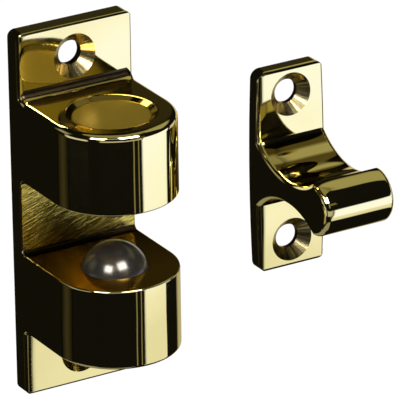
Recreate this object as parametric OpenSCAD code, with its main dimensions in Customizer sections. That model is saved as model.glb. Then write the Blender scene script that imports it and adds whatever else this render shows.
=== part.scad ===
// Double ball catch: a brass body with two sprung steel balls that face each other
// across a gap, and the strike whose round nose snaps in between them.
// The catch body's back lies on the plane y = 0 and is centred on the origin.
// The front faces -Y, and the body stands upright along Z.

/* [Catch body] */
// Width of the back plate and of both lobes
plate_w = 20.6; // [19.6:0.1:26]
// Height of the back plate
plate_h = 61.6; // [60:0.1:80]
// Thickness of the back plate
plate_t = 3.0; // [2.6:0.1:5]
// Height of each lobe
lobe_h = 13.4; // [13:0.1:15]
// Gap between the lobes, which takes the nose of the strike
gap_h = 12.7; // [11.6:0.1:15]
// Distance from the front of the plate to the axis of the balls
ball_axis_d = 11.3; // [10.6:0.1:16]
// Rounding of the plate's front edges
edge_r = 0.45; // [0.3:0.05:0.7]
// Rounding of the upper lobe's top edges, which the buffing wheel has worn most
lobe_edge_r = 1.0; // [0.8:0.1:1.4]
// Rounding of the lower lobe's bottom edges, which stayed crisper
low_edge_r = 0.5; // [0.4:0.05:0.8]
// Corner radius of the back plate, seen from the front
corner_r = 1.2; // [0.8:0.1:2]
// Fillet above the upper lobe, where it grows out of the plate
root_r = 1.6; // [1.2:0.1:2]
// Fillet below the lower lobe
low_root_r = 0.6; // [0.4:0.1:1]
// Broken edge of the milled gap
gap_edge_r = 0.25; // [0.2:0.05:0.4]
// Fillet in the inner corners of the gap
gap_root_r = 0.7; // [0.5:0.1:0.9]

/* [Screw holes] */
// Height of each catch screw above and below the middle of the body
catch_screw_z = 25.3; // [25:0.1:26]
// Diameter of every screw hole
screw_d = 4.1; // [3.4:0.1:4.6]
// Diameter of every countersink at the front face
sink_d = 7.4; // [6.6:0.1:8]

/* [Balls and springs] */
// Diameter of each ball
ball_d = 11.1; // [10.7:0.1:11.3]
// How far the centre of a ball at rest lies behind the gap's face
ball_set = 1.5; // [1.2:0.1:2]
// Running clearance between a ball and its bore
ball_gap = 0.1; // [0.08:0.02:0.2]
// Diameter of the spring wire
wire_d = 0.6; // [0.5:0.05:0.7]
// Diameter of a spring, across the middle of its wire
spring_d = 7.0; // [6:0.1:7.6]
// Number of turns in a spring
spring_turns = 3; // [2:0.5:4]
// Clearance left at both ends of a spring
spring_gap = 0.05; // [0.02:0.01:0.1]

/* [Plugs] */
// Diameter of the disc that closes each bore
plug_d = 12.5; // [12.2:0.1:13]
// Thickness of that disc
plug_t = 1.85; // [1.4:0.05:2]
// How deep the disc lies below the lobe's outer face
plug_recess = 0.55; // [0.4:0.05:0.8]
// Clearance round the disc
plug_gap = 0.02; // [0.01:0.01:0.05]
// Outer diameter of the conical mouth round the disc
mouth_d = 14.5; // [14.2:0.1:15]
// Rounding of the mouth's rim
rim_r = 0.6; // [0.4:0.1:0.8]

/* [Strike] */
// Width of the strike at its middle
strike_w = 12.9; // [11.6:0.1:16]
// How far each side of the strike draws in towards its ends
side_bow = 0.4; // [0.2:0.05:0.8]
// Height of the plate of the strike
strike_h = 34.8; // [33.6:0.1:40]
// Thickness of the plate of the strike
strike_t = 2.5; // [2.2:0.1:4]
// Rounding of the front edges of that plate
strike_edge_r = 0.6; // [0.3:0.05:0.7]
// Corner radius of that plate, seen from the front
strike_corner_r = 1.6; // [0.8:0.1:2]
// Rounding of the side edges of the neck and the nose
neck_edge_r = 0.9; // [0.6:0.05:1.1]
// Height of each strike screw above and below the middle of the strike
strike_screw_z = 12.7; // [12.3:0.1:13]
// Diameter of the half-round nose
nose_d = 9.0; // [8:0.1:10]
// Thickness of the neck at its waist
waist_t = 3.8; // [3:0.1:4.4]
// Distance from the front of the plate to the waist
waist_d = 9.0; // [8:0.1:10]
// Clearance between the nose and the back plate when the strike stops on the lobes
nose_gap = 0.4; // [0.2:0.1:1]
// Free space between the side of the catch and the side of the strike
strike_apart = 23.0; // [4:0.1:40]
// Height of the middle of the strike, from the middle of the catch
strike_z = -2.7; // [-10:0.1:10]

/* [Hidden] */
$fn = 96;

brass = "#c9a43a";
steel = "#8a8c90";
wire = "#77797c";

// Overcut of a hole beyond the face that it opens in
cut = 0.5;

// Places in the catch, as distances from the back plane and the middle of the gap
axis_d = plate_t + ball_axis_d;
lobe_r = plate_w / 2;
lobe_z = (gap_h + lobe_h) / 2;
lobe_reach = ball_axis_d + lobe_r;

// The bore of a lobe, measured outwards from the gap's face
bore_r = ball_d / 2 + ball_gap;
plug_seat_z = lobe_h - plug_recess - plug_t;
pocket_r = plug_d / 2 + plug_gap;
plug_chamfer = plug_t / 8;
// The rim's rounding touches the lobe's face and the cone this far from their common edge
mouth_slope = atan(plug_recess / (mouth_d / 2 - pocket_r));
rim_reach = rim_r * tan(mouth_slope / 2);

// A spring runs from the ball to the plug
spring_r = spring_d / 2;
spring_low = ball_set + sqrt(pow((ball_d + wire_d) / 2 + spring_gap, 2) - pow(spring_r, 2));
spring_high = plug_seat_z - wire_d / 2 - spring_gap;
wire_sides = 10;
turn_steps = 28;
spring_steps = round(spring_turns * turn_steps);

// The section of the strike, as distances from its own back and middle
nose_r = nose_d / 2;
nose_axis_d = lobe_reach - nose_gap - nose_r;
neck_rise = nose_r - waist_t / 2;
neck_run = nose_axis_d - waist_d;
neck_r = (pow(neck_run, 2) + pow(neck_rise, 2)) / (2 * neck_rise);
neck_root = waist_t / 2 + neck_r - sqrt(pow(neck_r, 2) - pow(waist_d, 2));
bow_r = (pow(strike_h / 2, 2) + pow(side_bow, 2)) / (2 * side_bow);
bow_x = strike_w / 2 - bow_r;
strike_corner_z = strike_h / 2 - strike_corner_r;
strike_corner_x = bow_x + sqrt(pow(bow_r - strike_corner_r, 2) - pow(strike_corner_z, 2));
// The neck is drawn a little too wide, and the bowed sides trim it
neck_w = strike_w + side_bow / 8;
strike_x = lobe_r + strike_apart + strike_w / 2;

// Flat rectangle about the origin, with round corners
module round_rect(w, h, r) {
    square([w - 2 * r, h], center = true);
    square([w, h - 2 * r], center = true);
    for (x = [-1, 1], y = [-1, 1])
        translate([x * (w / 2 - r), y * (h / 2 - r)]) circle(r);
}

// Extrudes a flat section, drawn in x and z, forwards from the plane y = 0
module forwards(depth) {
    rotate([90, 0, 0]) linear_extrude(depth) children();
}

// Extrudes a flat section, drawn as forward distance and height, across the width w
module across(w) {
    translate([-w / 2, 0, 0])
        rotate([90, 0, 90]) linear_extrude(w) mirror([1, 0]) children();
}

// Section of a plate whose two front corners are round; the back ones stay square
module front_rounded(depth, h, r) {
    translate([0, -h / 2]) square([depth - r, h]);
    translate([0, r - h / 2]) square([depth, h - 2 * r]);
    for (y = [-1, 1]) translate([depth - r, y * (h / 2 - r)]) circle(r);
}

// The countersunk hole for a screw, drilled backwards into a plate of thickness t
module screw_hole(t) {
    sink = (sink_d - screw_d) / 2;
    translate([0, cut, 0]) forwards(t + 2 * cut) circle(d = screw_d);
    translate([0, sink - t, 0]) rotate([90, 0, 0])
        cylinder(h = sink + cut, d1 = screw_d, d2 = sink_d + 2 * cut);
}

// The back plate, with its front edges and its corners rounded
module back_plate() {
    intersection() {
        forwards(plate_t) round_rect(plate_w, plate_h, corner_r);
        across(plate_w) front_rounded(plate_t, plate_h, edge_r);
        rotate([0, 90, 0]) across(plate_h) front_rounded(plate_t, plate_w, edge_r);
    }
}

// The stretch of the plate behind the gap, which keeps crisper side edges
module gap_plate() {
    intersection() {
        forwards(plate_t) square([plate_w, gap_h + lobe_h], center = true);
        rotate([0, 90, 0]) across(plate_h) front_rounded(plate_t, plate_w, gap_edge_r);
    }
}

// Front view of a lobe about its middle: outer corners of radius out_r above, crisp ones at the gap
module lobe_face(out_r) {
    x_out = plate_w / 2 - out_r;
    x_gap = plate_w / 2 - gap_edge_r;
    translate([-plate_w / 2, gap_edge_r - lobe_h / 2])
        square([plate_w, lobe_h - gap_edge_r - out_r]);
    translate([-x_out, 0]) square([2 * x_out, lobe_h / 2]);
    translate([-x_gap, -lobe_h / 2]) square([2 * x_gap, lobe_h / 2]);
    for (x = [-1, 1]) {
        translate([x * x_out, lobe_h / 2 - out_r]) circle(out_r);
        translate([x * x_gap, gap_edge_r - lobe_h / 2]) circle(gap_edge_r);
    }
}

// One lobe about its middle height: straight sides, then a half-round end
module lobe(out_r) {
    translate([0, -plate_t / 2, 0])
        forwards(axis_d - plate_t / 2) lobe_face(out_r);
    translate([0, -axis_d, 0]) rotate([0, 0, 180]) rotate_extrude(angle = 180)
        intersection() {
            lobe_face(out_r);
            translate([0, -lobe_h / 2]) square([plate_w, lobe_h]);
        }
}

// Cutter along x for a hollow of radius r across the width w: a spool whose ends flare out,
// so that the hollow's two side edges come out rounded by e
module spool(r, w, e) {
    rotate([0, 90, 0]) rotate_extrude() difference() {
        translate([0, -w / 2]) square([r + e, w]);
        for (side = [-1, 1]) mirror([0, side < 0 ? 1 : 0]) intersection() {
            translate([r + e, 0]) square([2 * e, w], center = true);
            union() {
                translate([r + e, w / 2 - e]) circle(e);
                translate([r, 0]) square([2 * e, w / 2 - e]);
            }
        }
    }
}

// Fillet of radius r on a lobe's upper root, with its side edges rounded by e
module root_fillet(r, e) {
    difference() {
        translate([-plate_w / 2, -plate_t - r, lobe_h / 2 - e]) cube([plate_w, r + e, r + e]);
        translate([0, -plate_t - r, lobe_h / 2 + r]) spool(r, plate_w, e);
    }
}

// Section of a lobe's bore, from the ball's seat at the gap to the plug's mouth
module bore_section() {
    top = lobe_h;
    intersection() {
        union() {
            translate([0, ball_set]) circle(bore_r);
            translate([0, ball_set]) square([bore_r, plug_seat_z - ball_set + plug_t]);
            translate([0, plug_seat_z]) square([pocket_r, top - plug_seat_z + cut]);
            polygon([[0, top - plug_recess], [pocket_r, top - plug_recess], [mouth_d / 2, top],
                     [mouth_d / 2, top + cut], [0, top + cut]]);
            difference() {
                polygon([[mouth_d / 2 - rim_reach * cos(mouth_slope), top - rim_reach * sin(mouth_slope)],
                         [mouth_d / 2 + rim_reach, top], [mouth_d / 2 + rim_reach, top + cut],
                         [mouth_d / 2 - rim_reach * cos(mouth_slope), top + cut]]);
                translate([mouth_d / 2 + rim_reach, top - rim_r]) circle(rim_r);
            }
        }
        translate([0, -bore_r]) square([mouth_d, lobe_h + 2 * bore_r]);
    }
}

// Places a piece that is drawn outwards from the gap's face in the upper or the lower lobe
module in_lobe(upper) {
    mirror([0, 0, upper ? 0 : 1]) translate([0, -axis_d, gap_h / 2]) children();
}

module catch_body() {
    color(brass) difference() {
        union() {
            back_plate();
            gap_plate();
            for (side = [0, 1]) mirror([0, 0, side]) translate([0, 0, lobe_z]) {
                lobe(side == 0 ? lobe_edge_r : low_edge_r);
                root_fillet(side == 0 ? root_r : low_root_r, side == 0 ? lobe_edge_r : low_edge_r);
                mirror([0, 0, 1]) root_fillet(gap_root_r, gap_edge_r);
            }
        }
        for (upper = [false, true]) in_lobe(upper) rotate_extrude() bore_section();
        for (side = [-1, 1]) translate([0, 0, side * catch_screw_z]) screw_hole(plate_t);
    }
}

module ball(upper) {
    color(steel) in_lobe(upper) translate([0, 0, ball_set]) sphere(d = ball_d);
}

// Height of the wire, for a share u of the spring's length; its end turns lie flat
function wire_height(u) = spring_low + (spring_high - spring_low) * u * u * (3 - 2 * u);

// One point on the wire: step along the coil, side round the wire
function wire_point(step, side) =
    let (turn = 360 * step / turn_steps,
         round_wire = 360 * side / wire_sides,
         r = spring_r + wire_d / 2 * cos(round_wire))
    [r * cos(turn), r * sin(turn), wire_height(step / spring_steps) + wire_d / 2 * sin(round_wire)];

module spring(upper) {
    points = [for (step = [0:spring_steps], side = [0:wire_sides - 1]) wire_point(step, side)];
    walls = [for (step = [0:spring_steps - 1], side = [0:wire_sides - 1])
        let (a = step * wire_sides + side,
             b = step * wire_sides + (side + 1) % wire_sides)
        [a, b, b + wire_sides, a + wire_sides]];
    first_end = [for (side = [wire_sides - 1:-1:0]) side];
    last_end = [for (side = [0:wire_sides - 1]) spring_steps * wire_sides + side];
    color(wire) in_lobe(upper) polyhedron(points, concat(walls, [first_end, last_end]));
}

module plug(upper) {
    color(brass) in_lobe(upper) translate([0, 0, plug_seat_z]) rotate_extrude()
        polygon([[0, 0], [plug_d / 2 - plug_chamfer, 0], [plug_d / 2, plug_chamfer],
                 [plug_d / 2, plug_t - plug_chamfer], [plug_d / 2 - plug_chamfer, plug_t],
                 [0, plug_t]]);
}

// Front outline of the strike: bowed sides, straight ends and round corners
module strike_outline() {
    intersection() {
        square([strike_w, 2 * strike_corner_z], center = true);
        translate([bow_x, 0]) circle(bow_r, $fn = 1440);
        translate([-bow_x, 0]) circle(bow_r, $fn = 1440);
    }
    square([2 * strike_corner_x, strike_h], center = true);
    for (x = [-1, 1], z = [-1, 1])
        translate([x * strike_corner_x, z * strike_corner_z]) circle(strike_corner_r);
}

// Slice of a great disc whose rim is the bowed right side of the strike, with a round front edge
module bowed_side() {
    slice = 2 * asin(strike_h / bow_r);
    translate([bow_x, 0, 0]) rotate([90, 0, 0]) rotate([0, 0, -slice / 2])
        rotate_extrude(angle = slice, $fn = 1440) {
            square([bow_r - strike_edge_r, strike_t]);
            square([bow_r, strike_t - strike_edge_r]);
            translate([bow_r - strike_edge_r, strike_t - strike_edge_r]) circle(strike_edge_r, $fn = 96);
        }
}

module strike_plate() {
    intersection() {
        forwards(strike_t) strike_outline();
        across(strike_w) front_rounded(strike_t, strike_h, strike_edge_r);
        bowed_side();
        mirror([1, 0, 0]) bowed_side();
    }
}

// Neck and nose of the strike: a block and a round-ended bar, which two spools hollow together
module strike_neck() {
    intersection() {
        difference() {
            union() {
                across(neck_w) translate([strike_t / 2, -neck_root])
                    square([strike_t / 2 + nose_axis_d - nose_r / 4, 2 * neck_root]);
                translate([0, -strike_t - nose_axis_d, 0]) rotate([0, 90, 0]) rotate_extrude()
                    intersection() {
                        round_rect(nose_d, neck_w, neck_edge_r);
                        translate([0, -neck_w / 2]) square([nose_d, neck_w]);
                    }
            }
            for (side = [-1, 1])
                translate([0, -strike_t - waist_d, side * (waist_t / 2 + neck_r)])
                    spool(neck_r, neck_w, neck_edge_r);
        }
        forwards(strike_t + lobe_reach + cut) strike_outline();
    }
}

module strike() {
    color(brass) translate([strike_x, 0, strike_z]) difference() {
        union() {
            strike_plate();
            strike_neck();
        }
        for (side = [-1, 1]) translate([0, 0, side * strike_screw_z]) screw_hole(strike_t);
    }
}

module upper_ball() { ball(true); }
module lower_ball() { ball(false); }
module upper_spring() { spring(true); }
module lower_spring() { spring(false); }
module upper_plug() { plug(true); }
module lower_plug() { plug(false); }

catch_body();
upper_ball();
lower_ball();
upper_spring();
lower_spring();
upper_plug();
lower_plug();
strike();
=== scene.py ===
# %% [markdown]
# # A double ball catch in polished brass
# The part comes as finished solids: a cast brass body with two D-shaped lobes, two steel balls
# that face each other across the gap, springs and closing discs behind the balls, and a strike
# with a round nose. This lesson gives those solids their finishes and builds a small studio
# round them. Every length is in metres, in the same frame as the solids: the back of the body
# lies on y = 0, the front looks along -Y, and Z is up.

# %% Load the part
import math

import bpy
from mathutils import Matrix, Vector


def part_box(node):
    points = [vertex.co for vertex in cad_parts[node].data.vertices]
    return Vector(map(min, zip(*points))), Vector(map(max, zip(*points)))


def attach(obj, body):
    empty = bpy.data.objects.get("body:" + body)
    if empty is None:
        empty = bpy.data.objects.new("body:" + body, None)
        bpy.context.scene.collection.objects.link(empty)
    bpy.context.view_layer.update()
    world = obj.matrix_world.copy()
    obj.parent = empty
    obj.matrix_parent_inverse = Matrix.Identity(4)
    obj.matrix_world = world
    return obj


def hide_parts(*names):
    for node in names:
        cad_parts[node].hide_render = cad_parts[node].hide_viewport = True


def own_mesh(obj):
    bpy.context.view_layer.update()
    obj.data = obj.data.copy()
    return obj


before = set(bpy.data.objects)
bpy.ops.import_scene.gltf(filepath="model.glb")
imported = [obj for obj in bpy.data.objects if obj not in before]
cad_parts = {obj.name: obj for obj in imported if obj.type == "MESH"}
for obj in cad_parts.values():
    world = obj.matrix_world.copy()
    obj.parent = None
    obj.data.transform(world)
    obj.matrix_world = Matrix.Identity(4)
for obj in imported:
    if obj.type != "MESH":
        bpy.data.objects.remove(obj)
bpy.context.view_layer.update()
MM = 0.001


def in_mm(points):
    """Points, such as the corners of a box, in millimetres and rounded for printing."""
    return [[round(v / MM, 2) for v in point] for point in points]


print("nodes:", sorted(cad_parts))

# %% [markdown]
# ## Sizes that the finishes need
# A finish changes where a tool has worked, so the script has to know where that is. The places
# could be typed in, but then they would be wrong as soon as the solids change. The boxes of the
# solids give many of them: the body's box has the plate's width and height, and a ball's box has
# the axis of the bores. What shows in no box, such as the plate's thickness, is written down where
# it is first needed.

# %% Measure the solids
body_low, body_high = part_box("catch_body")
strike_low, strike_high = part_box("strike")
ball_low, ball_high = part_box("upper_ball")
plate_half = body_high.x
strike_half = (strike_high.x - strike_low.x) / 2
strike_mid = (strike_low + strike_high) / 2
ball_axis_y = (ball_low.y + ball_high.y) / 2
PLATE_T = 3.0 * MM
print("ball axis at y =", round(ball_axis_y / MM, 2), "mm; strike middle at x =",
      round(strike_mid.x / MM, 2), "mm")

# %% [markdown]
# ## The camera
# The picture was taken with a long lens, from the left and a little above. A camera could be moved
# by eye until the picture fits. Matching the plate's corners, the round lobes and the strike's nose
# gives the direction, the distance and the lens more surely. The camera is also turned a touch
# about its own axis, because the plate leans a little in the picture.

# %% Camera
CAMERA_AZ, CAMERA_EL, CAMERA_ROLL = -30.27, 23.04, -0.87
CAMERA_DISTANCE = 0.9
CAMERA_TARGET = Vector((18.18, -10.0, -0.87)) * MM
FOCAL_PIXELS, PICTURE_PIXELS, SENSOR = 5672.0, 400.0, 36.0
CLIP_NEAR, CLIP_FAR = 0.05, 20.0


def direction(az, el):
    """Unit vector towards a place seen at that azimuth and elevation, in degrees."""
    a, e = math.radians(az), math.radians(el)
    return Vector((math.sin(a) * math.cos(e), -math.cos(a) * math.cos(e), math.sin(e)))


def add_camera():
    """A camera that looks at CAMERA_TARGET, rolled about its own axis."""
    back = direction(CAMERA_AZ, CAMERA_EL)
    level = Vector((math.cos(math.radians(CAMERA_AZ)), math.sin(math.radians(CAMERA_AZ)), 0))
    right = Matrix.Rotation(math.radians(CAMERA_ROLL), 3, back) @ level
    up = back.cross(right)
    data = bpy.data.cameras.new("camera")
    data.sensor_width = SENSOR
    data.lens = FOCAL_PIXELS * SENSOR / PICTURE_PIXELS
    data.clip_start, data.clip_end = CLIP_NEAR, CLIP_FAR
    camera = bpy.data.objects.new("camera", data)
    camera.matrix_world = Matrix((right, up, back)).transposed().to_4x4()
    camera.location = CAMERA_TARGET + back * CAMERA_DISTANCE
    bpy.context.scene.collection.objects.link(camera)
    bpy.context.scene.camera = camera
    return camera


camera = add_camera()
print("camera at", [round(v, 3) for v in camera.location], "lens", round(camera.data.lens, 1))

# %% [markdown]
# ## A metal to start from
# Every finish here is a metal, so each material starts from one Principled shader. Metallic is 1,
# or less where a rubbed or worn face shows some plain colour too. Seen straight on, such a shader
# has the metal's colour, but at a slant it turns white. The Specular Tint socket sets the colour
# for slanting views, and a warm one keeps brass golden there. A second shader mixed in by slant
# could do the same, with more nodes. Values that are the same all over are set on the sockets.

# %% Metal helper
BRASS_SLANT = (1.0, 0.9, 0.6)


def new_metal(name, colour, roughness=0.1, slant=BRASS_SLANT, metallic=1.0):
    """A metal material; slant tints what it reflects at a slant. Returns it, its tree and shader."""
    material = bpy.data.materials.new(name)
    material.use_nodes = True
    tree = material.node_tree
    shader = tree.nodes["Principled BSDF"]
    shader.inputs["Base Color"].default_value = (*colour, 1)
    shader.inputs["Metallic"].default_value = metallic
    shader.inputs["Specular Tint"].default_value = (*slant, 1)
    shader.inputs["Roughness"].default_value = roughness
    return material, tree, shader


print("brass seen at a slant keeps", BRASS_SLANT, "of what it reflects")

# %% [markdown]
# ## Nodes that know the place
# A finish is a graph of nodes. In the node editor each one is added by hand and wired with the
# mouse. In a script, one helper that makes a node and sets its values keeps a recipe short. Where a
# finish changes could be painted on an unwrapped mesh. Asking for the place on the part, in its own
# metres, needs no unwrapping, and sums on Math nodes turn that place into a mask or a height.

# %% Place helpers


def add_node(tree, kind, **values):
    """A node of that kind; values are its properties, or its input sockets by name."""
    node = tree.nodes.new(kind)
    for key, value in values.items():
        if hasattr(node, key):
            setattr(node, key, value)
        else:
            node.inputs[key.replace("_", " ")].default_value = value
    return node


def reckon(tree, operation, *terms):
    """A sum on a Math node; each term is a number or the output of another node."""
    node = add_node(tree, "ShaderNodeMath", operation=operation)
    for socket, term in zip(node.inputs, terms):
        if isinstance(term, bpy.types.NodeSocket):
            tree.links.new(term, socket)
        else:
            socket.default_value = term
    return node.outputs[0]


def own_place(tree):
    """The place on the part, in its own metres."""
    return add_node(tree, "ShaderNodeTexCoord").outputs["Object"]


def own_axes(tree):
    """The place on the part as three outputs, named X, Y and Z."""
    split = add_node(tree, "ShaderNodeSeparateXYZ")
    tree.links.new(own_place(tree), split.inputs["Vector"])
    return split.outputs


print("place helpers:", [tool.__name__ for tool in (add_node, reckon, own_place, own_axes)])

# %% [markdown]
# ## Relief, tones and polish
# What makes a buffed, a milled or a turned face different is its relief, which is far too fine to
# model. An image could hold it, but only at one sharpness. A noise by place is sharp at any
# distance: stretched, it is a grain or a scratch, and slow, it is a roll. A Bump node takes it as a
# height in metres. The same noise can blend two tones, or let the polish wander.

# %% Finish helpers


def noise(tree, scale, detail=2.0, stretch=(1, 1, 1), turn=(0, 0, 0)):
    """Noise by place; stretch makes it long along an axis, turn turns it by degrees."""
    mapping = add_node(tree, "ShaderNodeMapping", vector_type="TEXTURE")
    mapping.inputs["Scale"].default_value = stretch
    mapping.inputs["Rotation"].default_value = [math.radians(v) for v in turn]
    texture = add_node(tree, "ShaderNodeTexNoise", Scale=scale, Detail=detail)
    tree.links.new(own_place(tree), mapping.inputs["Vector"])
    tree.links.new(mapping.outputs["Vector"], texture.inputs["Vector"])
    return texture.outputs["Fac"]


def relief(tree, height, depth, under=None):
    """A bump of that depth in metres, on top of another bump if one is given."""
    bump = add_node(tree, "ShaderNodeBump", Strength=1.0, Distance=depth)
    tree.links.new(height, bump.inputs["Height"])
    if under is not None:
        tree.links.new(under, bump.inputs["Normal"])
    return bump.outputs["Normal"]


def spread(tree, value, low, high, start=0.0, end=1.0):
    """Maps a value that runs from start to end to one that runs from low to high."""
    node = add_node(tree, "ShaderNodeMapRange", From_Min=start, From_Max=end, To_Min=low, To_Max=high)
    tree.links.new(value, node.inputs["Value"])
    return node.outputs["Result"]


def blend_tones(tree, socket, value, dark, light):
    """Sets a colour socket between two tones by a value from 0 to 1."""
    tone = add_node(tree, "ShaderNodeMixRGB")
    tone.inputs["Color1"].default_value = (*dark, 1)
    tone.inputs["Color2"].default_value = (*light, 1)
    tree.links.new(value, tone.inputs["Fac"])
    tree.links.new(tone.outputs["Color"], socket)


def vary_polish(tree, shader, low, high, scale, detail=3.0):
    """Lets the roughness wander between low and high."""
    wander = spread(tree, noise(tree, scale, detail), low, high)
    tree.links.new(wander, shader.inputs["Roughness"])


print("finish helpers:", [tool.__name__ for tool in (noise, relief, spread, blend_tones, vary_polish)])

# %% [markdown]
# ## Buffed brass
# The outside was buffed to a mirror on a cloth wheel. A flat mirror would look like a drawing: a
# real buffed face rolls by some hundredths of a millimetre, and the soft wheel wears its edges
# down, so that straight reflections come back winding. Modelling that would cost many faces. A
# slow noise as bump gives the roll, a bowl that rises late gives the fall at the sides, and a
# weak fine noise gives the haze that the wheel leaves. The body's ends also come forward a little.

# %% Buffed brass
BRASS = (0.90, 0.80, 0.40)
ROLL, HAZE = 0.1 * MM, 0.0015 * MM
DISH, DISH_POWER = 0.15 * MM, 6


def steep_bowl(tree, coordinate, middle, half_width, power):
    """0 in the middle of a width and 1 at its edges, rising late and steeply."""
    offset = reckon(tree, "SUBTRACT", coordinate, middle)
    share = reckon(tree, "DIVIDE", offset, half_width)
    return reckon(tree, "POWER", reckon(tree, "ABSOLUTE", share), power)


def buffed_brass(name, middle_x, half_width, power, fall, dish=0.0, furrows=None):
    """Mirror brass that falls away to its sides; furrows may add to its shape, and painted bands to
    its colour.
    """
    material, tree, shader = new_metal(name, BRASS)
    axes = own_axes(tree)
    shape = relief(tree, steep_bowl(tree, axes["X"], middle_x, half_width, power), -fall)
    if dish:
        ends = steep_bowl(tree, axes["Z"], 0.0, body_high.z, DISH_POWER)
        shape = relief(tree, ends, dish, under=shape)
    if furrows:
        shape = furrows(tree, shader, shape)
    shape = relief(tree, noise(tree, scale=110, detail=0.0), ROLL, under=shape)
    shape = relief(tree, noise(tree, scale=320, detail=1.0), HAZE, under=shape)
    tree.links.new(shape, shader.inputs["Normal"])
    vary_polish(tree, shader, low=0.02, high=0.07, scale=700, detail=4.0)
    return material


body_brass = buffed_brass("buffed_brass", 0.0, plate_half, power=12, fall=0.14 * MM, dish=DISH)
strike_brass = buffed_brass("buffed_strike_brass", strike_mid.x, strike_half, power=5, fall=0.26 * MM)
print("buffed:", body_brass.name, "and", strike_brass.name)

# %% [markdown]
# ## Furrows and painted bands in the neck
# The strike is sawn from a drawn bar, and the die left shallow furrows across the hollow of its
# neck. They could be cut into the mesh, but they are less than two tenths of a millimetre deep. A
# wave by place serves twice: as a bump, and as the blend between brass and a painted dark band,
# a painted reflection of the dark surroundings in the hollow.

# %% Neck furrows
# Painted reflection: the neck's colour is darkened in bands to stand in for dark reflections.
NECK_PAINTED_DARK = (0.20, 0.15, 0.04)
FURROW_DEPTH = 0.14 * MM


def neck_furrows_and_painted_bands(tree, shader, shape):
    """Lays furrows on a shape and paints dark bands of reflection into the shader's colour along them.
    """
    bands = add_node(tree, "ShaderNodeTexWave", bands_direction="Y", Scale=90.0, Distortion=0.25,
                     Phase_Offset=0.475)
    tree.links.new(own_place(tree), bands.inputs["Vector"])
    unpainted = spread(tree, bands.outputs["Fac"], low=-0.6, high=1.6)
    blend_tones(tree, shader.inputs["Base Color"], unpainted, dark=NECK_PAINTED_DARK, light=BRASS)
    return relief(tree, bands.outputs["Fac"], FURROW_DEPTH, under=shape)


neck_brass = buffed_brass("buffed_neck_brass", strike_mid.x, strike_half, power=4, fall=0.4 * MM,
                          furrows=neck_furrows_and_painted_bands)
print("buffed with furrows:", neck_brass.name)

# %% [markdown]
# ## The milled wall of the gap
# The gap was cut after casting and only scraped clean, so its back wall keeps slanting scratches.
# Single scratches could be drawn as curves, but there are hundreds. A noise stretched along one
# direction makes them all: long along the scratch, short across it. A second, shorter one crosses
# it at a small angle and also sets where the brass is bright and where it is dull.

# %% Milled brass
MILLED_DARK, MILLED_LIGHT = (0.42, 0.31, 0.045), (1.0, 0.85, 0.2)


def milled_brass():
    """Brass with slanting scratches on a wall that faces along Y."""
    material, tree, shader = new_metal("milled_brass", MILLED_LIGHT)
    long_scratch = noise(tree, scale=2200, detail=3.0, stretch=(1, 1, 18), turn=(0, 74, 0))
    short_scratch = noise(tree, scale=5200, detail=2.0, stretch=(1, 1, 9), turn=(0, 68, 0))
    coarse = relief(tree, long_scratch, depth=0.10 * MM)
    fine = relief(tree, short_scratch, depth=0.05 * MM, under=coarse)
    tree.links.new(fine, shader.inputs["Normal"])
    tones = spread(tree, short_scratch, low=-1.0, high=2.0)
    blend_tones(tree, shader.inputs["Base Color"], tones, MILLED_DARK, MILLED_LIGHT)
    vary_polish(tree, shader, low=0.14, high=0.28, scale=500)
    return material


gap_wall = milled_brass()
print("gap wall:", gap_wall.name)

# %% [markdown]
# ## The scraped faces of the gap
# The two faces that carry the balls were scraped flat and never buffed. They are duller and
# browner than the outside. Their colour is painted darkest next to the wall, as painted shade
# deep in the gap. A vertex colour could hold that change, but the faces have few corners. A ramp
# along Y, from the wall to just ahead of the ball, needs none.

# %% Scraped brass
# Painted shade: the colour runs from dark at the wall to light ahead of the ball.
SCRAPED_SHADED, SCRAPED_LIT = (0.07, 0.038, 0.01), (0.75, 0.46, 0.09)
LIT_AHEAD = 4 * MM


def scraped_brass():
    """Brass with a fine grain and painted shade: dark at the wall and lighter ahead of the ball."""
    material, tree, shader = new_metal("scraped_brass", SCRAPED_LIT)
    scrape = noise(tree, scale=1500, detail=2.0, stretch=(1, 12, 1), turn=(0, 0, 24))
    tree.links.new(relief(tree, scrape, depth=0.003 * MM), shader.inputs["Normal"])
    ahead = spread(tree, own_axes(tree)["Y"], low=0, high=1, start=-PLATE_T,
                   end=ball_axis_y - LIT_AHEAD)
    blend_tones(tree, shader.inputs["Base Color"], ahead, SCRAPED_SHADED, SCRAPED_LIT)
    vary_polish(tree, shader, low=0.08, high=0.16, scale=400)
    return material


gap_face = scraped_brass()
print("gap faces:", gap_face.name)

# %% [markdown]
# ## Root fillets and sunk rims
# The fillets where a lobe meets the plate, and the sunk rim round a closing disc, get painted
# shade: their colour is darker than the outside. A layer of its own over clean brass could hold
# that shade. At this size a darker metal does the same with one shader: almost black in the
# fillets, and brown with a better shine on the turned rim.

# %% Corner and rim brass


def shade_painted_brass():
    """Brass painted dark as shade, with a grain along X, for root fillets."""
    material, tree, shader = new_metal("shade_painted_brass", (0.06, 0.042, 0.02))
    grain = noise(tree, scale=1500, detail=2.0, stretch=(14, 1, 1))
    tree.links.new(relief(tree, grain, depth=0.001 * MM), shader.inputs["Normal"])
    vary_polish(tree, shader, low=0.18, high=0.28, scale=600)
    return material


def rim_shade_brass():
    """Brass painted brown as shade, for the sunk rim round a disc."""
    material, tree, shader = new_metal("rim_shade_brass", (0.34, 0.27, 0.09))
    vary_polish(tree, shader, low=0.05, high=0.11, scale=900)
    return material


# Both are painted shade, darker than the outside brass.
root_shade = shade_painted_brass()
disc_rim_shade = rim_shade_brass()
print("corners and rims:", root_shade.name, disc_rim_shade.name)

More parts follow.
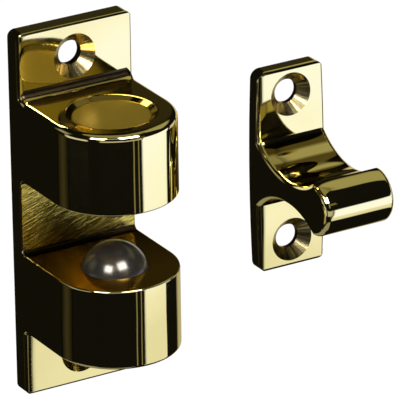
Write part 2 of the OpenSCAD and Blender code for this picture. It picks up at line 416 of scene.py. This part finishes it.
# %% [markdown]
# ## The outer ends of the lobes
# A lobe's outer end is polished less than the fronts, so what it reflects is softened, and the
# wheel has worn it down towards its outline. That outline is a D: straight sides behind the ball's
# axis and a half circle before it. The distance from the middle of the D could be read from the
# mesh, but it is also a short sum: the length of an arm that counts y only ahead of the axis.

# %% Lobe ends
END_FALL, END_POWER, END_ROLL = 0.14 * MM, 9, 0.03 * MM


def lobe_bowl(tree, power):
    """0 along the middle of a D-shaped lobe and 1 at its outline, rising late and steeply."""
    axes = own_axes(tree)
    ahead = reckon(tree, "MAXIMUM", reckon(tree, "SUBTRACT", ball_axis_y, axes["Y"]), 0.0)
    arm = add_node(tree, "ShaderNodeCombineXYZ")
    tree.links.new(axes["X"], arm.inputs["X"])
    tree.links.new(ahead, arm.inputs["Y"])
    length = add_node(tree, "ShaderNodeVectorMath", operation="LENGTH")
    tree.links.new(arm.outputs["Vector"], length.inputs[0])
    return steep_bowl(tree, length.outputs["Value"], 0.0, plate_half, power)


def top_brass():
    """Brass that falls away to a lobe's outline, with a slow roll and a fine grain."""
    material, tree, shader = new_metal("top_brass", (0.86, 0.72, 0.27))
    fall = relief(tree, lobe_bowl(tree, END_POWER), -END_FALL)
    roll = relief(tree, noise(tree, scale=110, detail=1.0), END_ROLL, under=fall)
    grain = noise(tree, scale=1500, detail=2.0, stretch=(12, 1, 1), turn=(0, 0, 20))
    tree.links.new(relief(tree, grain, depth=0.0015 * MM, under=roll), shader.inputs["Normal"])
    vary_polish(tree, shader, low=0.05, high=0.11, scale=500)
    return material


lobe_end = top_brass()
print("lobe ends:", lobe_end.name)

# %% [markdown]
# ## Turned brass in the countersinks
# A countersink is cut by a spinning tool, which leaves fine rings round the hole. Light breaks
# on the rings into streaks that run towards the middle. The rings could be a bump, but they are
# finer than a pixel. An anisotropic shader gives their sum, if its tangent runs round each hole:
# the cross product of the tool's axis and the arm from that axis. The same direction, fed to a
# noise, paints dark streaks into the colour, a painted reflection that stays the same from the rim
# to the hole. The body's lower cone is painted darker as well, as shade under the lower lobe.

# %% Turned brass
CATCH_SCREW_Z, STRIKE_SCREW_Z = 25.3 * MM, 12.7 * MM
TOOL_AXIS = (0, 1, 0)
PAINTED_STREAK_DARK = 0.25
SCREW_HOLES = [(0.0, side * CATCH_SCREW_Z) for side in (-1, 1)]
SCREW_HOLES += [(strike_mid.x, strike_mid.z + side * STRIKE_SCREW_Z) for side in (-1, 1)]
# The first tone, for the body's lower cone, is darker: painted shade under the lower lobe.
CONE_TONES_WITH_SHADE = [(0.40, 0.31, 0.12), (0.68, 0.54, 0.25), (0.60, 0.50, 0.25), (0.68, 0.56, 0.28)]


def turned_brass(name, centre, colour):
    """Brass with tool rings round an axis through centre, its colour darkened in painted reflection
    streaks.
    """
    material, tree, shader = new_metal(name, colour, roughness=0.2)
    arm = add_node(tree, "ShaderNodeVectorMath", operation="SUBTRACT")
    arm.inputs[1].default_value = centre
    tree.links.new(own_place(tree), arm.inputs[0])
    around = add_node(tree, "ShaderNodeVectorMath", operation="CROSS_PRODUCT")
    around.inputs[0].default_value = TOOL_AXIS
    tree.links.new(arm.outputs["Vector"], around.inputs[1])
    unit = add_node(tree, "ShaderNodeVectorMath", operation="NORMALIZE")
    tree.links.new(around.outputs["Vector"], unit.inputs[0])
    tree.links.new(unit.outputs["Vector"], shader.inputs["Tangent"])
    shader.inputs["Anisotropic"].default_value = 0.8
    # Painted reflection: streaks by direction darken the colour.
    streak = add_node(tree, "ShaderNodeTexNoise", Scale=12.0, Detail=3.0)
    tree.links.new(unit.outputs["Vector"], streak.inputs["Vector"])
    sharper = spread(tree, streak.outputs["Fac"], low=-1.5, high=2.4)
    dark = [PAINTED_STREAK_DARK * v for v in colour]
    blend_tones(tree, shader.inputs["Base Color"], sharper, dark, colour)
    return material


cones = {}
for number, ((x, z), tone) in enumerate(zip(SCREW_HOLES, CONE_TONES_WITH_SHADE)):
    cones[f"cone {number}"] = turned_brass(f"turned_cone_{number}", (x, 0, z), tone)
print("countersinks at x, z in mm:", in_mm(SCREW_HOLES))

# %% [markdown]
# ## The closing discs
# A flat disc closes each bore. It was punched from sheet and rubbed with emery, so it is satin: it
# shows the lamps as a broad glow and no picture of the room. Roughness alone would still mirror
# the black surroundings. Metallic below 1 adds the plain, lit colour of a rubbed face.

# %% Closing discs


def satin_brass():
    """Rubbed sheet brass with a grain along one direction."""
    material, tree, shader = new_metal("plug_disc", (0.25, 0.17, 0.018), roughness=0.26, metallic=0.6)
    grain = noise(tree, scale=1800, detail=2.0, stretch=(16, 1, 1), turn=(0, 0, 20))
    tree.links.new(relief(tree, grain, depth=0.006 * MM), shader.inputs["Normal"])
    return material


def coat(nodes, material):
    """Gives whole solids one material."""
    for node in nodes:
        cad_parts[node].data.materials.clear()
        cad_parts[node].data.materials.append(material)
    print(material.name, "on", nodes)


coat(("upper_plug", "lower_plug"), satin_brass())

# %% [markdown]
# ## Steel balls
# The balls are ground and lapped steel: darker than brass, with a soft shine and the faintest
# marks of use. A clean mirror ball would show the whole studio in small. A little roughness that
# wanders, and a bump of two thousandths of a millimetre, leave two soft lights on a dark ball.

# %% Steel balls
NO_TINT = (1.0, 1.0, 1.0)


def ball_steel():
    """Lapped steel with small marks."""
    material, tree, shader = new_metal("ball_steel", (0.14, 0.13, 0.11), slant=NO_TINT, metallic=0.9)
    vary_polish(tree, shader, low=0.17, high=0.25, scale=600, detail=4.0)
    marks = relief(tree, noise(tree, scale=500, detail=3.0), depth=0.002 * MM)
    tree.links.new(marks, shader.inputs["Normal"])
    return material


coat(("upper_ball", "lower_ball"), ball_steel())

# %% [markdown]
# ## Sorting faces by their finish
# One casting carries several finishes, so its faces have to be sorted. In Blender this is often
# done by hand, face by face. Here the place and the slope of a face say what tool made it: a cone
# round a screw hole, the hollow of the neck, the back wall of the gap. What no rule fits is
# buffed. The cones and the neck come first, since the strike has nothing else.

# %% Cones and neck
CLOSE, NEAR = 0.01 * MM, 0.05 * MM
SQUARE = 0.999
SINK_R = 3.7 * MM
STRIKE_T = 2.5 * MM
NECK_START, NECK_END = 0.2 * MM, 11.5 * MM
NECK_RISE, NECK_LEAN = 0.3, 0.1


def hole_finish(face):
    """The cone of a countersink that a face lies on, or buffed."""
    middle = face.center
    if middle.y > -PLATE_T - NEAR and abs(face.normal.y) < SQUARE:
        for number, (x, z) in enumerate(SCREW_HOLES):
            if math.hypot(middle.x - x, middle.z - z) < SINK_R - 2 * CLOSE:
                return f"cone {number}"
    return "buffed"


def strike_finish(face):
    """The hollow top and bottom of the neck have furrows; the rest is as hole_finish says."""
    ahead = -STRIKE_T - face.center.y
    hollow = abs(face.normal.z) > NECK_RISE and abs(face.normal.x) < NECK_LEAN
    return "neck" if hollow and NECK_START < ahead < NECK_END else hole_finish(face)


print("a face of the strike is sorted by", hole_finish.__name__, "and", strike_finish.__name__)

# %% [markdown]
# ## The faces of the casting
# The casting has the most finishes. Its two halves mirror each other, so the height of a face
# counts without its sign. Picking faces by their numbers would break when the mesh changes, so
# the rules speak of heights, of the way ahead of the plate and of the arm from the bore's axis.
# They are asked in turn, and the first one that fits names the finish.

# %% Casting faces
GAP_HALF, GAP_ROOT_R = 6.35 * MM, 0.7 * MM
LOBE_TOP, ROOT_R = 19.75 * MM, 1.6 * MM
RIM_R, MOUTH_DEEP = 7.9 * MM, 0.6 * MM
FLAT = 0.99
FILLET_LEAST, FILLET_MOST = 0.05, 0.8


def body_finish(face):
    """The finish of a face of the casting, by the tool that made it."""
    middle, rise = face.center, abs(face.normal.z)
    height, ahead = abs(middle.z), -PLATE_T - middle.y
    arm = math.hypot(middle.x, middle.y - ball_axis_y)
    if hole_finish(face) != "buffed":
        return hole_finish(face)
    if height < GAP_HALF and -CLOSE < ahead < GAP_ROOT_R:
        return "corner" if rise > FILLET_LEAST else "gap wall"
    if arm < RIM_R and rise < SQUARE and height > LOBE_TOP - MOUTH_DEEP:
        return "rim"
    if abs(height - GAP_HALF) < CLOSE and rise > FLAT:
        return "gap face"
    if abs(height - LOBE_TOP) < CLOSE and rise > FLAT:
        return "lobe end"
    in_root = LOBE_TOP < height < LOBE_TOP + ROOT_R and 0 < ahead < ROOT_R
    return "corner" if in_root and FILLET_LEAST < rise < FILLET_MOST else "buffed"


print("lobe ends at z =", in_mm([(-LOBE_TOP, LOBE_TOP)])[0], "mm, sorted by", body_finish.__name__)

# %% [markdown]
# ## Dressing the casting and the strike
# The solids themselves have to stay as they are. So a copy of each mesh stands in for the solid,
# with one material slot for each finish, and rides on the same body. The copy has the same faces,
# so nothing is lost, and the sorting only sets each face's slot number.

# %% Dress the body and the strike


def dressed_copy(node, body, finishes, choose):
    """A copy of a node's mesh; choose names the finish of each face."""
    piece = bpy.data.objects.new(node + "_finish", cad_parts[node].data.copy())
    bpy.context.scene.collection.objects.link(piece)
    piece.data.materials.clear()
    for material in finishes.values():
        piece.data.materials.append(material)
    names = list(finishes)
    counts = dict.fromkeys(names, 0)
    for face in piece.data.polygons:
        finish = choose(face)
        face.material_index = names.index(finish)
        counts[finish] += 1
    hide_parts(node)
    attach(piece, body)
    print(node, "faces by finish:", counts)
    return piece


body_finishes = {"buffed": body_brass, **cones, "gap wall": gap_wall, "gap face": gap_face,
                 "corner": root_shade, "rim": disc_rim_shade, "lobe end": lobe_end}
strike_finishes = {"buffed": strike_brass, **cones, "neck": neck_brass}
dressed_copy("catch_body", "root", body_finishes, body_finish)
dressed_copy("strike", "root", strike_finishes, strike_finish)

# %% [markdown]
# ## Springs
# Each ball is pushed out by a coil of drawn wire, a little rougher than the ball, between the
# ball and the closing disc. When the ball goes in, its coil has to shorten towards the disc. A
# shape key or a squash along Z could do that; here each coil only gets a copy of its mesh, with
# the wire finish.


def spring_steel():
    """Drawn wire."""
    material, tree, shader = new_metal("spring_steel", (0.42, 0.42, 0.43), slant=NO_TINT)
    vary_polish(tree, shader, low=0.22, high=0.4, scale=2500, detail=2.0)
    return material


wire = {"wire": spring_steel()}
for level, side in (("upper", 1), ("lower", -1)):
    spring = dressed_copy(f"{level}_spring", "root", wire, lambda face: "wire")
    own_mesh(spring)

# %% [markdown]
# ## The glow of a card
# A mirror shows only its surroundings, so polished brass is lit by choosing what it sees. Lamps
# alone would leave it black with a few hard lights. In a photo studio, white, coloured and black
# cards stand round such a thing, and so they do here. A card could be a white face with a lamp
# before it. A face that gives light itself is simpler, and a fade stored on its corners makes its
# edges soft.

# %% Card light


def glow(name, colour, strength):
    """A light-giving material whose strength follows the fade stored on a card's corners."""
    material = bpy.data.materials.new(name)
    material.use_nodes = True
    tree = material.node_tree
    tree.nodes.clear()
    out = add_node(tree, "ShaderNodeOutputMaterial")
    light = add_node(tree, "ShaderNodeEmission", name="light")
    light.inputs["Color"].default_value = (*colour, 1)
    fade = add_node(tree, "ShaderNodeAttribute", attribute_name="fade")
    power = add_node(tree, "ShaderNodeMath", name="power", operation="MULTIPLY")
    power.inputs[1].default_value = strength
    tree.links.new(fade.outputs["Fac"], power.inputs[0])
    tree.links.new(power.outputs[0], light.inputs["Strength"])
    tree.links.new(light.outputs["Emission"], out.inputs["Surface"])
    return material


print("a card's light is made by", glow.__name__)

# %% [markdown]
# ## The shape of a card
# A flat card would have to be aimed and measured in metres. A reflection asks only for a direction,
# so each card is a patch of a sphere round the part, given by its azimuths and elevations. Where
# cards overlap, the nearer layer hides the other. Cards act on reflections alone: the camera
# doesn't see them, and they throw no shadow.

# %% Card shape
CARD_RADIUS, LAYER_STEP = 0.75, 0.005
CARD_MESH = 2.0


def patch_mesh(name, az, el, soft, radius, step):
    """A patch of a sphere round the part, with its fade; step is the size of a face in degrees."""
    columns = max(1, math.ceil((az[1] - az[0]) / step))
    rows = max(1, math.ceil((el[1] - el[0]) / step))
    points, fades, faces = [], [], []
    for j in range(rows + 1):
        for i in range(columns + 1):
            here_az = az[0] + (az[1] - az[0]) * i / columns
            here_el = el[0] + (el[1] - el[0]) * j / rows
            points.append(CAMERA_TARGET + radius * direction(here_az, here_el))
            edge = min(here_az - az[0], az[1] - here_az, here_el - el[0], el[1] - here_el)
            fades.append(min(1.0, edge / soft) if soft else 1.0)
            if i < columns and j < rows:
                corner = j * (columns + 1) + i
                faces.append((corner, corner + 1, corner + columns + 2, corner + columns + 1))
    mesh = bpy.data.meshes.new(name)
    mesh.from_pydata(points, [], faces)
    mesh.attributes.new("fade", "FLOAT", "POINT").data.foreach_set("value", fades)
    return mesh


def studio_card(name, az, el, material, soft=0.0, layer=0, step=CARD_MESH):
    """A card seen only in reflections; soft is its edge in degrees, a higher layer hides a lower."""
    mesh = patch_mesh(name, az, el, soft, CARD_RADIUS - layer * LAYER_STEP, step)
    mesh.materials.append(material)
    card = bpy.data.objects.new(name, mesh)
    bpy.context.scene.collection.objects.link(card)
    card.visible_camera = False
    card.visible_diffuse = False
    card.visible_shadow = False
    card.visible_transmission = False
    card.visible_volume_scatter = False
    print(name, "at azimuth", az, "elevation", el)
    return card


def lit_card(name, az, el, colour, strength, **edges):
    """A card with a light of its own."""
    return studio_card(name, az, el, glow(name, colour, strength), **edges)


print("cards stand", CARD_RADIUS, "m from", in_mm([CAMERA_TARGET])[0], "mm")

# %% [markdown]
# ## Black cloth and one window
# Deep black beside cream is what makes brass look polished. The room could be dark with one bright
# lamp, but then the part would look wrong under any other light. Here the room stays white, and
# black cloth shuts it out all round, except for one tall window to the front right. The flat
# fronts reflect the window, and the lobes show it as an upright band. Its paper is white at the
# foot and brighter and cooler above, which brass turns into cream.

# %% Cloth and window
WINDOW_AZ, WINDOW_EL = (21.0, 80.0), (-37.0, 3.0)
WINDOW_FOOT, WINDOW_HEAD = (1.0, 1.0, 0.97), (0.65, 0.71, 1.0)
TURN_LOW, TURN_HIGH = -0.325, -0.265
CLOTH_LAYER, CLOTH_MESH = -10, 5.0
black = glow("black_cloth", (1.0, 0.95, 0.8), 0.006)
for name, az, el in (("flag_round", (WINDOW_AZ[1], WINDOW_AZ[0] + 360), (-90, 90)),
                     ("flag_over", WINDOW_AZ, (WINDOW_EL[1], 90)),
                     ("flag_under", WINDOW_AZ, (-90, WINDOW_EL[0]))):
    studio_card(name, az, el, black, layer=CLOTH_LAYER, step=CLOTH_MESH)


def window_glow():
    """Paper lit from behind, which turns from foot to head between two heights."""
    material = glow("panel", WINDOW_FOOT, 1.0)
    tree = material.node_tree
    climb = spread(tree, own_axes(tree)["Z"], low=0, high=1, start=TURN_LOW, end=TURN_HIGH)
    blend_tones(tree, tree.nodes["light"].inputs["Color"], climb, WINDOW_FOOT, WINDOW_HEAD)
    tree.links.new(spread(tree, climb, low=0.87, high=1.70), tree.nodes["power"].inputs[1])
    return material


studio_card("panel", WINDOW_AZ, WINDOW_EL, window_glow(), soft=2.5)

# %% [markdown]
# ## Dim cards for gold
# Between black and cream the brass is gold, amber and brown, because it also sees dim, warm
# things: cardboard, a wooden bench, a wall. One even, dim room would make it all the same gold.
# So each kind of face gets the card that it looks at: the lobes' right sides, the neck and the
# nose, the lobe ends, the plate above a lobe, and thin lines beside the window.

# %% Gold cards
lit_card("amber_card", az=(100, 151), el=(-23, -5), colour=(1.0, 0.74, 0.22), strength=0.24, soft=1.5)
studio_card("low_cloth", (70, 107), (-48, -23.4), black, layer=2)
lit_card("pale_card", az=(104, 170), el=(-48, -10), colour=(1.0, 0.98, 0.9),
         strength=0.5, soft=12, layer=-2)
lit_card("olive_card", az=(72, 143), el=(32, 66), colour=(1.0, 0.93, 0.48), strength=0.36, soft=5)
lit_card("olive_top", az=(-180, 180), el=(64, 90), colour=(1.0, 0.9, 0.42), strength=0.26)
lit_card("dim_card", az=(141, 166), el=(10, 30), colour=(1.0, 0.9, 0.5), strength=0.03, soft=3)
lit_card("strip_card", az=(19, 28.6), el=(20.5, 28), colour=(1.0, 0.87, 0.25),
         strength=0.18, soft=0.6, step=0.3)
lit_card("left_high_card", az=(0, 20), el=(13, 34), colour=(1.0, 0.95, 0.7), strength=0.4, soft=4)
lit_card("over_card", az=(-75, 22), el=(34, 50), colour=(1.0, 0.95, 0.75), strength=0.5, soft=4)
for name, az in (("thin_card_a", (5, 8)), ("thin_card_b", (14, 16.5))):
    lit_card(name, az, el=(-29, -18), colour=(1.0, 0.9, 0.5), strength=0.35, soft=1)
lit_card("grey_card", az=(-143, -109), el=(8, 38), colour=(1.0, 0.95, 0.7), strength=0.3, soft=8)
lit_card("brown_card", az=(-141, -113), el=(-40, -9), colour=(1.0, 0.85, 0.45), strength=0.04, soft=12)

# %% [markdown]
# ## White cards for the other sides
# The part is also looked at from the sides and from behind, where the cloth alone would leave it
# black. A second studio for those views would be one more thing to keep in step. White cards at
# the height of the part serve instead: they stand above what its fronts reflect to the camera, so
# they change little there. A card below the part gives faces that look down something to reflect.

# %% White cards
CARD_WHITE = (1.0, 0.98, 0.92)
lit_card("back_card", az=(163, 203), el=(-19, 20), colour=(1, 1, 1), strength=0.9, soft=3)
lit_card("front_card", az=(-52, 23), el=(-18.5, 4), colour=CARD_WHITE, strength=0.5, soft=3, layer=1)
lit_card("left_card", az=(-118, -70), el=(-20, 4), colour=CARD_WHITE, strength=0.7, soft=3)
lit_card("right_card", az=(84, 110), el=(-20, 6), colour=CARD_WHITE, strength=0.7, soft=3)
lit_card("far_right_card", az=(114, 150), el=(-19.5, 6), colour=CARD_WHITE,
         strength=0.7, soft=3, layer=2)
lit_card("floor_card", az=(-180, 8), el=(-80, -38), colour=(1.0, 0.95, 0.8), strength=0.3, soft=4)

# %% [markdown]
# ## Two soft lamps
# A ball shows two soft, square lights side by side, so the picture was lit by two softboxes above,
# one to the front and one to the left. Point lamps would leave hard dots on the ball. Area lamps
# are softboxes: their size sets how large the lights on a ball are, and their power stays low, so
# that a colour comes out about as it is written.

# %% Lamps
LAMP_DISTANCE = 0.7


def soft_lamp(name, az, el, width, height, power):
    """An area lamp that looks at the part."""
    data = bpy.data.lights.new(name, "AREA")
    data.shape = "RECTANGLE"
    data.size, data.size_y = width, height
    data.energy = power
    lamp = bpy.data.objects.new(name, data)
    way = direction(az, el)
    lamp.location = CAMERA_TARGET + way * LAMP_DISTANCE
    lamp.rotation_euler = way.to_track_quat("Z", "Y").to_euler()
    bpy.context.scene.collection.objects.link(lamp)
    print(name, "gives", power, "W")


soft_lamp("left_softbox", az=-56, el=37, width=0.28, height=0.24, power=2.4)
soft_lamp("right_softbox", az=4, el=46, width=0.34, height=0.28, power=3.4)

# %% [markdown]
# ## Floor and room
# The part stands free before white paper. A floor right under it would catch a dark shadow, so the
# paper lies far below. The room is white too, at a strength of 1, where white is just white. The
# Standard view transform shows colours as they are written.

# %% Floor and room
FLOOR_DROP, FLOOR_HALF = 0.9, 6.0
WHITE = (1, 1, 1, 1)
floor_z = body_low.z - FLOOR_DROP
floor_corners = [(x * FLOOR_HALF, y * FLOOR_HALF, floor_z)
                 for x, y in ((-1, -1), (1, -1), (1, 1), (-1, 1))]
floor_mesh = bpy.data.meshes.new("floor")
floor_mesh.from_pydata(floor_corners, [], [(0, 1, 2, 3)])
floor = bpy.data.objects.new("floor", floor_mesh)
bpy.context.scene.collection.objects.link(floor)
paper = bpy.data.materials.new("white_paper")
paper.use_nodes = True
paper_shader = paper.node_tree.nodes["Principled BSDF"]
paper_shader.inputs["Base Color"].default_value = WHITE
paper_shader.inputs["Roughness"].default_value = 0.9
floor_mesh.materials.append(paper)

world = bpy.data.worlds.new("white_room")
bpy.context.scene.world = world
world.use_nodes = True
world.node_tree.nodes["Background"].inputs["Color"].default_value = WHITE
world.node_tree.nodes["Background"].inputs["Strength"].default_value = 1.0
bpy.context.scene.view_settings.view_transform = "Standard"
print("floor at z =", round(floor_z, 3), "m")
